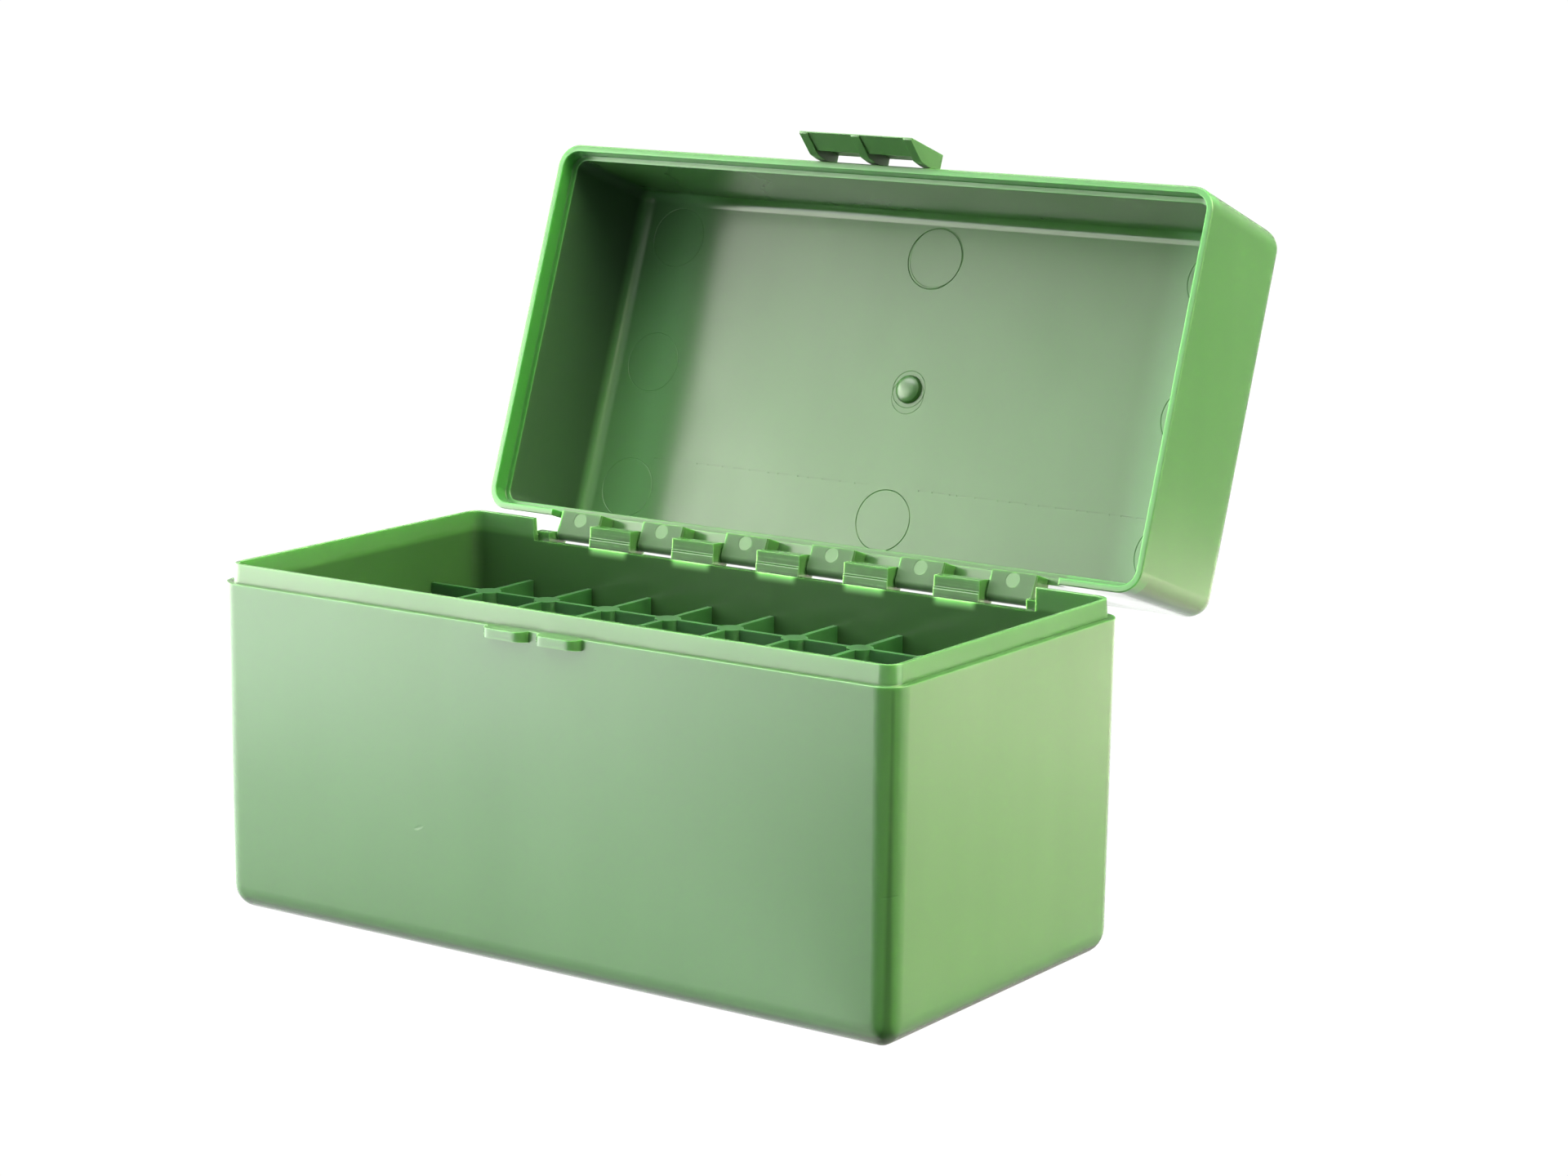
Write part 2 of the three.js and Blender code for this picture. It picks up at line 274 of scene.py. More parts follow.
def rounded_ring(half_x, half_y, radius, z, steps=7):
    """A rounded rectangle at height z, as a closed run of points."""
    points = []
    for quarter, (sx, sy) in enumerate([(1, -1), (1, 1), (-1, 1), (-1, -1)]):
        centre_x = sx * (half_x - radius)
        centre_y = sy * (half_y - radius)
        for i in range(steps + 1):
            angle = math.radians(-90 + 90 * quarter + 90 * i / steps)
            points.append((centre_x + radius * math.cos(angle), centre_y + radius * math.sin(angle), z))
    return points


def loft(name, rings):
    """A closed skin through rings that have the same number of points, capped at both ends."""
    count = len(rings[0])
    vertices = [point for ring in rings for point in ring]
    faces = [list(range(count)), [len(vertices) - count + i for i in range(count)]]
    for r in range(len(rings) - 1):
        for i in range(count):
            j = (i + 1) % count
            faces.append([r * count + i, r * count + j, (r + 1) * count + j, (r + 1) * count + i])
    return new_object(name, vertices, faces)


def arc(centre_inset, centre_z, radius, start, end, steps):
    """(inset, height) pairs on an arc. Angle 0 points out of the wall and 90 points up."""
    pairs = []
    for i in range(steps + 1):
        angle = math.radians(start + (end - start) * i / steps)
        pairs.append((centre_inset - radius * math.cos(angle), centre_z + radius * math.sin(angle)))
    return pairs


def moulded_rings(half_x, half_y, corner, profile):
    """Rings from a profile of (inset from the wall, height) pairs."""
    rings = []
    for inset, z in profile:
        radius = max(corner - inset, TIGHTEST_CORNER)
        rings.append(rounded_ring(half_x - inset, half_y - inset, radius, z))
    return rings


def block(name, x0, x1, y0, y1, z0, z1):
    corners = [(x, y, z) for x in (x0, x1) for y in (y0, y1) for z in (z0, z1)]
    faces = [(0, 1, 3, 2), (4, 6, 7, 5), (0, 4, 5, 1), (2, 3, 7, 6), (0, 2, 6, 4), (1, 5, 7, 3)]
    return new_object(name, corners, faces)


def prism_x(name, outline, x0, x1):
    """An outline of (y, z) points, drawn out along X."""
    return loft(name, [[(x, y, z) for y, z in outline] for x in (x0, x1)])


def prism_z(name, outline, z0, z1):
    """An outline of (x, y) points, drawn up along Z."""
    return loft(name, [[(x, y, z) for x, y in outline] for z in (z0, z1)])


def circle_points(centre, radius, start=0, end=360, steps=32, closed=True):
    count = steps if closed else steps + 1
    points = []
    for i in range(count):
        angle = math.radians(start + (end - start) * i / steps)
        points.append((centre[0] + radius * math.cos(angle), centre[1] + radius * math.sin(angle)))
    return points


def spun(name, profile, centre_x, centre_y, steps=40):
    """A solid of revolution about a vertical line, from (radius, height) pairs off the axis."""
    rings = []
    for radius, z in profile:
        ring = circle_points((centre_x, centre_y), radius, steps=steps)
        rings.append([(x, y, z) for x, y in ring])
    return loft(name, rings)


def turn_lid_open(piece):
    """Lid parts are drawn shut, then turned back about the hinge to their place at rest."""
    centre = hinge * MM
    turn = Matrix.Translation(centre) @ Matrix.Rotation(-lid_open, 4, "X") @ Matrix.Translation(-centre)
    piece.data.transform(turn)


# ---------------------------------------------------------------------------------------------
# Camera
# ---------------------------------------------------------------------------------------------
LENS = 85.76
VIEWPOINT = Vector((396.1, -537.1, 197.6))
LOOKING = Vector((-0.5557, 0.8081, -0.1953)).normalized()
TO_THE_RIGHT = Vector((0.8228, 0.5683, 0.0100)).normalized()


def make_camera():
    """The photo's viewpoint, fitted to the edges and corners of the box."""
    data = bpy.data.cameras.new("camera")
    data.sensor_width = 36
    data.lens = LENS
    camera = bpy.data.objects.new("camera", data)
    bpy.context.scene.collection.objects.link(camera)
    turn = Matrix((TO_THE_RIGHT, TO_THE_RIGHT.cross(LOOKING), -LOOKING)).transposed()
    camera.matrix_world = Matrix.Translation(VIEWPOINT * MM) @ turn.to_4x4()
    bpy.context.scene.camera = camera


# ---------------------------------------------------------------------------------------------
# Materials
# ---------------------------------------------------------------------------------------------
class Nodes:
    """Short names for building a node tree."""

    def __init__(self, owner, coordinates="Object"):
        """Nodes of a material or a world, whose place is the named texture coordinate."""
        owner.use_nodes = True
        self.tree = owner.node_tree
        self.place = self.add("ShaderNodeTexCoord").outputs[coordinates]

    def add(self, kind, **settings):
        node = self.tree.nodes.new(kind)
        for key, value in settings.items():
            setattr(node, key, value)
        return node

    def link(self, source, target):
        self.tree.links.new(source, target)

    def noise(self, scale, stretch=(1, 1, 1), detail=3.0, roughness=0.55):
        """Noise with scale in features per metre, stretched along each axis."""
        mapping = self.add("ShaderNodeMapping")
        mapping.inputs["Scale"].default_value = stretch
        self.link(self.place, mapping.inputs["Vector"])
        node = self.add("ShaderNodeTexNoise")
        node.inputs["Scale"].default_value = scale
        node.inputs["Detail"].default_value = detail
        node.inputs["Roughness"].default_value = roughness
        self.link(mapping.outputs["Vector"], node.inputs["Vector"])
        return node.outputs["Fac"]

    def ramp(self, source, stops):
        """A colour ramp whose colours have three numbers, or one for a grey."""
        node = self.add("ShaderNodeValToRGB")
        elements = node.color_ramp.elements
        while len(elements) < len(stops):
            elements.new(0.5)
        for element, (position, colour) in zip(elements, stops):
            element.position = position
            red_green_blue = colour if len(colour) == 3 else colour * 3
            element.color = (*red_green_blue, 1)
        self.link(source, node.inputs["Fac"])
        return node.outputs["Color"]

    def mix(self, fac, first, second, blend="MIX"):
        node = self.add("ShaderNodeMix", data_type="RGBA", blend_type=blend)
        factor_socket, first_colour, second_colour = (node.inputs[i] for i in (0, 6, 7))
        for value, socket in ((fac, factor_socket), (first, first_colour), (second, second_colour)):
            if isinstance(value, bpy.types.NodeSocket):
                self.link(value, socket)
            elif isinstance(value, tuple):
                socket.default_value = (*value, 1)
            else:
                socket.default_value = value
        colour_output = node.outputs[2]
        return colour_output

    def math(self, operation, first, second=0.0, third=0.0):
        node = self.add("ShaderNodeMath", operation=operation)
        for value, socket in zip((first, second, third), node.inputs):
            if isinstance(value, bpy.types.NodeSocket):
                self.link(value, socket)
            else:
                socket.default_value = value
        return node.outputs[0]

    def between(self, value, low, high, at_low, at_high):
        """A smooth step of value from low to high, as a number from at_low to at_high."""
        node = self.add("ShaderNodeMapRange", interpolation_type="SMOOTHSTEP")
        self.link(value, node.inputs["Value"])
        limits = {"From Min": low, "From Max": high, "To Min": at_low, "To Max": at_high}
        for socket, number in limits.items():
            node.inputs[socket].default_value = number
        return node.outputs["Result"]

    def rise(self, place, low_mm, high_mm):
        """0 below low_mm and 1 above high_mm."""
        return self.between(place, low_mm * MM, high_mm * MM, 0.0, 1.0)

    def fall(self, place, low_mm, high_mm):
        """1 below low_mm and 0 above high_mm."""
        return self.between(place, low_mm * MM, high_mm * MM, 1.0, 0.0)

    def both(self, first, second):
        return self.math("MULTIPLY", first, second)

    def hypotenuse(self, first, second):
        return self.math("SQRT", self.math("ADD", self.both(first, first), self.both(second, second)))

    def length(self, vector):
        node = self.add("ShaderNodeVectorMath", operation="LENGTH")
        self.link(vector, node.inputs[0])
        return node.outputs["Value"]

    def axes(self, vector):
        node = self.add("ShaderNodeSeparateXYZ")
        self.link(vector, node.inputs[0])
        return node.outputs

    def bump(self, height, strength, distance_mm):
        node = self.add("ShaderNodeBump")
        node.inputs["Strength"].default_value = strength
        node.inputs["Distance"].default_value = distance_mm * MM
        self.link(height, node.inputs["Height"])
        return node.outputs["Normal"]


def moulded_plastic(name, deep, light, roughness, depth_mm, zones=None):
    """Translucent pigmented polypropylene, in which light scatters up to depth_mm before it leaves.

    zones gives the colour of each zone, how matt it is and how deep it is dented, each from 0 to 1.
    """
    material = bpy.data.materials.new(name)
    n = Nodes(material)
    shader = n.tree.nodes["Principled BSDF"]
    cloud = n.noise(14, detail=2)
    streaks = n.noise(60, (1, 1, 0.07), detail=2)
    milky = n.math("MULTIPLY", n.math("ADD", cloud, streaks), 0.5)
    colour = n.mix(milky, deep, light)
    smear = n.noise(45, (1, 1, 0.3), detail=3)
    gloss = n.between(smear, 0.3, 0.7, roughness - 0.03, roughness + 0.05)
    waves = n.noise(24, (1, 1, 0.6), detail=1)
    height = n.math("MULTIPLY_ADD", waves, WAVE_HEIGHT, n.noise(260, detail=3))
    if zones:
        colour, matt, dents = zones(n, colour)
        gloss = n.math("ADD", gloss, n.both(matt, MATT_ROUGHER))
        height = n.math("ADD", height, n.both(matt, n.noise(3800, detail=2)))
        height = n.math("MULTIPLY_ADD", dents, -NICK_DEPTH, height)
    n.link(colour, shader.inputs["Base Color"])
    shader.inputs["Subsurface Weight"].default_value = 1.0
    shader.inputs["Subsurface Radius"].default_value = (0.55, 0.85, 0.4)
    shader.inputs["Subsurface Scale"].default_value = depth_mm * MM
    shader.inputs["IOR"].default_value = 1.49
    n.link(gloss, shader.inputs["Roughness"])
    n.link(n.bump(height, 0.12, 0.03), shader.inputs["Normal"])
    return material


def nicks(n):
    """Small dents in the base's walls, as a depth from 0 to 1."""
    depth = 0.0
    for place, size, turn in NICKS:
        local = n.add("ShaderNodeMapping", vector_type="TEXTURE")
        n.link(n.place, local.inputs["Vector"])
        local.inputs["Location"].default_value = Vector(place) * MM
        local.inputs["Rotation"].default_value = (0, math.radians(turn), 0)
        local.inputs["Scale"].default_value = Vector(size) * MM
        reach = n.length(local.outputs["Vector"])
        depth = n.math("ADD", n.between(reach, 0.3, 1.0, 1.0, 0.0), depth)
    return depth


def inside_of_base(n, along, across, z):
    """1 inside the walls and below the notch's floor, where the tub's painted shade goes. along and across
    are distances from the middle.
    """
    inside = n.both(n.fall(along, HALF_X - 1.6, HALF_X - 1), n.fall(across, HALF_Y - 1.5, HALF_Y - 1))
    return n.both(inside, n.fall(z, NOTCH_FLOOR, NOTCH_FLOOR + 1))


def base_zones(n, colour):
    """Painted glow in the thin lip and under the knuckles, painted shade inside, with streaks down the
    knuckles.
    """
    x, y, z = n.axes(n.place)
    along = n.math("ABSOLUTE", x)
    across = n.math("ABSOLUTE", y)

    at_hinge = n.both(n.rise(y, HALF_Y - 2.1, HALF_Y - 1.7), n.fall(along, NOTCH_HALF - 0.6, NOTCH_HALF))
    uneven = n.math("MULTIPLY_ADD", n.noise(55, detail=3), 3.0 * MM, -1.5 * MM)
    # Painted glow: the thin lip above the shoulder is painted lighter, for light that comes through it.
    thin = n.rise(n.math("ADD", z, uneven), SHOULDER - 0.4, SHOULDER + 0.6)
    thin = n.both(thin, n.math("SUBTRACT", 1.0, at_hinge))
    # Painted shade: the inside of the tub is painted darker.
    colour = n.mix(inside_of_base(n, along, across, z), colour, INSIDE_SHADE_GREEN)
    colour = n.mix(thin, colour, LIP_GLOW_GREEN)

    # Painted glow: under each knuckle the inner wall is painted lighter, for light that comes through the
    # thin support.
    half_pitch = (KNUCKLES[1] - KNUCKLES[0]) / 2 * MM
    shifted = n.math("SUBTRACT", x, 0.5 * MM)
    from_knuckle = n.math("ABSOLUTE", n.math("WRAP", shifted, half_pitch, -half_pitch))
    end = KNUCKLES[-1] + 7
    at_knuckle = n.both(n.fall(from_knuckle, 3.4, 5.1), n.fall(along, end, end + 0.5))
    glow = n.both(at_knuckle, n.rise(y, HALF_Y - 4.2, HALF_Y - 3.2))
    glow = n.both(glow, n.fall(y, HALF_Y - 2.2, HALF_Y - 1.9))
    glow = n.both(glow, n.rise(z, NOTCH_FLOOR - 1.9, NOTCH_FLOOR + 0.1))

    face = n.both(n.rise(y, HALF_Y - 1.8, HALF_Y - 1.6), n.fall(y, HALF_Y - 0.95, HALF_Y - 0.85))
    face = n.both(face, n.rise(z, NOTCH_FLOOR, NOTCH_FLOOR + 0.1))
    face = n.both(face, n.fall(along, end - 1, end))
    streaks = n.between(n.noise(2600, (0.02, 0.02, 1), detail=3), 0.42, 0.72, 0.0, 1.0)
    streaks = n.both(face, n.both(streaks, n.between(n.noise(500, detail=2), 0.4, 0.6, 0.3, 1.0)))
    colour = n.mix(streaks, colour, STREAK_GREEN)
    return n.mix(glow, colour, KNUCKLE_GLOW_GREEN), n.math("MULTIPLY", face, 0.35), nicks(n)


def lid_zones(n, colour):
    """Painted glow in the thin rim, painted light on the ceiling's ends, painted shade on the end walls, and
    darker on the tabs' feet.

    The places are worked out with the lid shut.
    """
    shut = n.add("ShaderNodeVectorRotate", rotation_type="X_AXIS")
    n.link(n.place, shut.inputs["Vector"])
    shut.inputs["Center"].default_value = hinge * MM
    shut.inputs["Angle"].default_value = lid_open
    x, y, z = n.axes(shut.outputs[0])
    along = n.math("ABSOLUTE", x)
    across = n.math("ABSOLUTE", y)

    at_hinge = n.rise(y, HALF_Y - 2.8, HALF_Y - 2.5)
    at_hinge = n.both(at_hinge, n.fall(along, NOTCH_HALF + 0.2, NOTCH_HALF + 0.8))
    # Painted glow: the thin rim is painted lighter, for light that comes through it.
    thin = n.both(n.fall(z, LIP_TOP + 0.2, LIP_TOP + 0.6), n.math("SUBTRACT", 1.0, at_hinge))
    inside = n.fall(z, LID_CEILING + 0.2, LID_CEILING + 0.6)
    for place, half in ((along, LID_X), (across, LID_Y)):
        thin = n.both(thin, n.fall(place, half - 0.9, half - 0.1))
        inside = n.both(inside, n.fall(place, half - LID_WALL + 0.4, half - LID_WALL + 0.8))
    # Painted light: the ends of the ceiling inside the lid are painted lighter.
    corner = n.both(n.rise(along, HALF_X - 25, HALF_X - 13), n.rise(z, LID_CEILING - 4, LID_CEILING - 1))
    corner = n.both(inside, corner)
    # Painted shade: the inner end walls of the lid are painted darker.
    end_wall_shade = n.both(n.rise(along, HALF_X - 5, HALF_X - 3), n.rise(z, LIP_TOP, LIP_TOP + 1))
    end_wall_shade = n.both(inside, end_wall_shade)

    foot = n.fall(z, TAB_FOOT + 0.3, TAB_FOOT + 0.7)
    half_pitch = (TABS[1] - TABS[0]) / 2 * MM
    from_tab = n.math("WRAP", n.math("SUBTRACT", x, half_pitch), half_pitch, -half_pitch)
    from_dot = n.math("SUBTRACT", y, DOT_Y * MM)
    dot = n.both(foot, n.fall(n.hypotenuse(from_tab, from_dot), 1.36, 1.44))
    colour = n.mix(end_wall_shade, colour, END_SHADE_GREEN)
    colour = n.mix(corner, colour, CORNER_LIGHT_GREEN)
    colour = n.mix(thin, colour, RIM_GLOW_GREEN)
    colour = n.mix(foot, colour, TAB_GREEN)
    return n.mix(dot, colour, DOT_GREEN), n.math("SUBTRACT", foot, dot), 0.0


SHELL = moulded_plastic("shell_green", *SHELL_TONES, SHELL_ROUGHNESS, 3.0, base_zones)
LID_SHELL = moulded_plastic("lid_green", *SHELL_TONES, SHELL_ROUGHNESS, 3.0, lid_zones)
CATCH_SHELL = moulded_plastic("catch_green", *SHELL_TONES, 0.34, 0.9)
INSERT = moulded_plastic("insert_green", *INSERT_TONES, 0.36, 1.6)


def finish_piece(piece, body, material, replaced):
    """Gives the piece its material, hangs it on the body it rides on, and hides the CAD nodes it stands for.
    """
    piece.data.materials.clear()
    piece.data.materials.append(material)
    for polygon in piece.data.polygons:
        polygon.material_index = 0
    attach(piece, body)
    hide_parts(*replaced)


# ---------------------------------------------------------------------------------------------
# Base moulding
# ---------------------------------------------------------------------------------------------
def base_profile():
    """From the underside up the outside, over the lip and down the inside to the floor."""
    wall = LIP_INSET + LIP_THICKNESS
    shoulder_edge = 0.18
    lip_outer = 0.08
    lip_inner = 0.16
    fillet = 2.8
    profile = [(BASE_EDGE + 14, 0.0), (BASE_EDGE + 2, 0.0)]
    profile += arc(BASE_EDGE + BASE_DRAFT * 0.9, BASE_EDGE, BASE_EDGE, -90, 0, 8)
    profile += arc(shoulder_edge, SHOULDER - shoulder_edge, shoulder_edge, 0, 90, 3)
    profile += [(LIP_INSET, SHOULDER), (LIP_INSET + 0.02, SHOULDER + 0.3)]
    profile += arc(LIP_INSET + LIP_LEAN + lip_outer, LIP_TOP - lip_outer, lip_outer, 0, 90, 2)
    profile += arc(wall - lip_inner, LIP_TOP - lip_inner, lip_inner, 90, 180, 3)
    profile += arc(wall + BASE_DRAFT + fillet, FLOOR + fillet, fillet, 0, -90, 6)
    profile.append((wall + 12, FLOOR))
    return profile


def base_knuckle(x0, x1):
    """A block at the wall and a barrel round the hinge, with tool marks down the block's face."""
    front = HALF_Y - 1.1
    points = [(front - 0.15, SHOULDER - 5), (HALF_Y - 0.2, SHOULDER - 5)]
    points += circle_points((hinge.y, hinge.z), BARREL, -60, 75, 14, closed=False)
    points += [(hinge.y - 1.0, hinge.z + 2.3), (HALF_Y + 0.7, KNUCKLE_TOP), (front + 0.12, KNUCKLE_TOP)]
    for i, gap in enumerate([0.22, 0.5, 0.16, 0.34, 0.2, 0.4]):
        z = points[-1][1] - gap
        points.append((front + 0.1 + 0.035 * (i % 2) - 0.012 * i, z))
    points += [
        (front + 0.04, NOTCH_FLOOR + 1.85), (front - 0.1, NOTCH_FLOOR + 1.75),
        (front - 0.05, NOTCH_FLOOR + 1.5), (front - 0.2, NOTCH_FLOOR + 1.35),
        (front - 0.3, NOTCH_FLOOR + 0.1), (front - 0.3, NOTCH_FLOOR - 0.6),
    ]
    return prism_x("knuckle", points, x0, x1)


def end_stub(side):
    """The short block at each end of the notch, on the left for side -1 and on the right for 1."""
    outline = [
        (HALF_Y - 1.1, SHOULDER - 5), (HALF_Y - 0.2, SHOULDER - 5), (hinge.y + 1.4, hinge.z - 2.2),
        (hinge.y + 1.4, hinge.z - 0.6), (HALF_Y + 0.7, STUB_TOP), (HALF_Y - 1.1, STUB_TOP),
    ]
    ends = sorted((side * STUB_END, side * (NOTCH_HALF + 0.5)))
    return prism_x("stub", outline, *ends)


def lug(centre):
    """A catch lug under the shoulder, with round ends and a sloping underside."""
    wall = -HALF_Y + 0.4
    reach = LUG_REACH + 0.4
    end = 2.3
    squared = 0.8
    steps = 8
    flat = LUG_WIDTH / 2 - end
    outline = [(centre + LUG_WIDTH / 2, wall), (centre - LUG_WIDTH / 2, wall)]
    for start, first, middle in ((180, 1, centre - flat), (270, 0, centre + flat)):
        for i in range(first, first + steps):
            angle = math.radians(start + 90 * i / steps)
            along = math.copysign(abs(math.cos(angle)) ** squared, math.cos(angle))
            out = abs(math.sin(angle)) ** squared
            outline.append((middle + end * along, wall - reach * out))
    piece = prism_z("lug", outline, SHOULDER - LUG_HEIGHT, SHOULDER - 0.02)
    slope = 0.35 / reach
    for vertex in piece.data.vertices:
        if vertex.co.z < (SHOULDER - LUG_HEIGHT / 2) * MM:
            vertex.co.z += slope * (wall * MM - vertex.co.y)
    return piece


def make_base():
    base = loft("base_moulding", moulded_rings(HALF_X, HALF_Y, CORNER, base_profile()))
    inner = HALF_Y - LIP_INSET - LIP_THICKNESS
    opening = [
        (inner - 2, NOTCH_FLOOR), (inner + 1.25, NOTCH_FLOOR), (inner + 1.5, TAB_FOOT - 0.25),
        (HALF_Y, TAB_FOOT - 0.4), (HALF_Y + 2, TAB_FOOT - 0.4), (HALF_Y + 2, LIP_TOP + 2),
        (inner - 2, LIP_TOP + 2),
    ]
    notch = prism_x("notch", opening, -NOTCH_HALF, NOTCH_HALF)
    boolean(base, notch, "DIFFERENCE")
    added = [base_knuckle(x - KNUCKLE_WIDTH / 2, x + KNUCKLE_WIDTH / 2) for x in KNUCKLES]
    added += [end_stub(-1), end_stub(1), lug(-LUG_CENTRE), lug(LUG_CENTRE)]
    boolean(base, join("added", added), "UNION")
    soften(base, 0.14)
    shade(base)
    finish_piece(base, "base", SHELL, ["base"])


# ---------------------------------------------------------------------------------------------
# Lid moulding and catch
# ---------------------------------------------------------------------------------------------
def lid_profile():
    """From the top down the outside, under the rim, up past its step and up the inside to the ceiling."""
    recess = LIP_TOP + GAP
    edge = LID_INNER_EDGE
    profile = [(LID_EDGE + 14, LID_TOP), (LID_EDGE + 2, LID_TOP)]
    profile += arc(LID_EDGE + LID_DRAFT * 0.9, LID_TOP - LID_EDGE, LID_EDGE, 90, 0, 8)
    profile += arc(0.3, RIM + 0.3, 0.3, 0, -90, 3)
    profile += arc(LID_RIM - 0.2, RIM + 0.2, 0.2, -90, -180, 3)
    profile += arc(LID_RIM + 0.25, recess - 0.25, 0.25, 0, 90, 3)
    profile += arc(LID_WALL - 0.2, recess + 0.2, 0.2, -90, -180, 3)
    profile += arc(LID_WALL + LID_INNER_DRAFT + edge, LID_CEILING - edge, edge, 0, 90, 6)
    profile.append((LID_WALL + 14, LID_CEILING))
    return profile


def lid_tab(centre):
    """A tab that wraps the hinge, with a flat foot and small roundings."""
    inside = hinge.y - 3.95
    wall = LID_Y - 0.2
    foot = hinge.z - BARREL
    outline = [(inside, LIP_TOP + 1.5), (inside, TAB_FOOT), (hinge.y + 0.55, foot)]
    outline += circle_points((hinge.y + 0.55, hinge.z - 0.55), BARREL - 0.55, -75, 0, 7, closed=False)
    outline += circle_points((hinge.y - 0.25, hinge.z + 0.1), BARREL - 0.05, 10, 90, 8, closed=False)
    outline += [(wall, hinge.z + BARREL + 1), (wall, LIP_TOP + 1.5)]
    return prism_x("tab", outline, centre - TAB_WIDTH / 2, centre + TAB_WIDTH / 2)


def groove(centre_x, centre_y, radius, surface, width, depth):
    """A fine ring to cut into a surface that faces down."""
    profile = [
        (radius - width, surface - 0.3), (radius + width, surface - 0.3), (radius + width * 0.8, surface),
        (radius, surface + depth), (radius - width * 0.8, surface),
    ]
    steps = 96
    rings = [circle_points((centre_x, centre_y), ring_radius, steps=steps) for ring_radius, _ in profile]
    vertices = [(x, y, z) for ring, (_, z) in zip(rings, profile) for x, y in ring]
    faces = []
    for r in range(len(profile)):
        s = (r + 1) % len(profile)
        for i in range(steps):
            j = (i + 1) % steps
            faces.append((r * steps + i, r * steps + j, s * steps + j, s * steps + i))
    return new_object("groove", vertices, faces)


def lid_cuts():
    """Marks that the mould leaves in the lid, in sets whose members do not touch each other."""
    pins = [(x, y) for x in (-PIN_X, 0, PIN_X) for y in (-PIN_Y, 0, PIN_Y) if (x, y) != (0, 0)]
    first = [groove(x, y, PIN_RADIUS, LID_CEILING, 0.15, 0.1) for x, y in pins]
    first.append(groove(0, 0, 3.75, LID_CEILING, 0.09, 0.06))
    second = [
        groove(0.3, -PIN_Y - 0.25, PIN_RADIUS - 0.1, LID_CEILING, 0.08, 0.05),
        groove(0, 1.3, 3.7, LID_CEILING, 0.08, 0.05),
    ]

    x = -58.0
    step = 0
    while x < 66:
        length = 1.2 + 1.3 * ((step * 7) % 5) / 2
        if not -7 < x < 5:
            first.append(block("dash", x, x + length, *FLOW_LINE, LID_CEILING - 0.3, LID_CEILING + 0.12))
        x += length + 0.5 + 0.4 * ((step * 3) % 4)
        step += 1

    for x in TABS:
        surface = TAB_FOOT - TAB_SLOPE * 1.55
        dot = spun("dot", [(1.45, surface - 1), (1.45, surface + 0.04), (1.38, surface + 0.07)], x, DOT_Y, 40)
        for vertex in dot.data.vertices:
            vertex.co.z -= TAB_SLOPE * (vertex.co.y - DOT_Y * MM)
        first.append(dot)
    return first, second


def make_lid():
    lid = loft("lid_moulding", moulded_rings(LID_X, LID_Y, CORNER, lid_profile()))
    notch_half = NOTCH_HALF + 0.5 + GAP
    above_knuckle = KNUCKLE_TOP + 0.35
    notch = block("notch", -notch_half, notch_half, LID_Y - 4, LID_Y + 1, RIM - 1, above_knuckle)
    boolean(lid, notch, "DIFFERENCE")
    strip_half = TABS[-1] + 4
    strip = block("strip", -strip_half, strip_half, LID_Y - 0.3, LID_Y + 1, above_knuckle, KNUCKLE_TOP + 2.2)
    boolean(lid, strip, "UNION")
    boolean(lid, join("tabs", [lid_tab(x) for x in TABS]), "UNION")
    soften(lid, 0.16)
    dome = [(2.9, 0.5), (2.9, 0), (2.85, -0.35), (2.6, -0.75), (2.1, -1.05), (1.5, -1.2),
            (0.8, -1.27), (0.2, -1.28)]
    button = spun("button", [(radius, LID_CEILING + z) for radius, z in dome], 0, 0)
    boolean(lid, button, "UNION")
    for cuts in lid_cuts():
        boolean(lid, join("cuts", cuts), "DIFFERENCE")
    shade(lid)
    turn_lid_open(lid)
    finish_piece(lid, "lid", LID_SHELL, ["lid"])


def make_catch():
    root = -LID_Y - GAP
    back = CATCH_FACE + CATCH_PLATE
    plate = [
        (CATCH_FACE, CATCH_TIP), (CATCH_FACE + 0.2, CATCH_TIP), (-39.2, 60.1), (back, 60.5),
        (back, CATCH_TOP), (CATCH_FACE, CATCH_TOP),
    ]
    rib = [
        (CATCH_FACE, CATCH_TIP), (CATCH_FACE + 0.5, CATCH_TIP), (-38.5, 60.6), (root, RIM),
        (root, CATCH_TOP), (CATCH_FACE, CATCH_TOP),
    ]
    catch = prism_x("catch_moulding", plate, -CATCH_HALF + 0.5, CATCH_HALF - 0.5)
    ribs = []
    for x in (-CATCH_HALF, -CATCH_RIB / 2, CATCH_HALF - CATCH_RIB):
        ribs.append(prism_x("rib", rib, x, x + CATCH_RIB))
    boolean(catch, join("ribs", ribs), "UNION")
    soften(catch, 0.14)
    shade(catch)
    turn_lid_open(catch)
    finish_piece(catch, "catch", CATCH_SHELL, ["catch_tab"])


# ---------------------------------------------------------------------------------------------
# Divider insert
# ---------------------------------------------------------------------------------------------
def rib_outline(half):
    """A rib that narrows with the tub's draft, with its bottom corners cut off to clear the fillets."""
    top = half - GAP
    foot = top - BASE_DRAFT
    cut = 3.2
    return [
        (-top, insert_top), (-foot, insert_foot + cut), (-foot + cut, insert_foot),
        (foot - cut, insert_foot), (foot, insert_foot + cut), (top, insert_top),
    ]


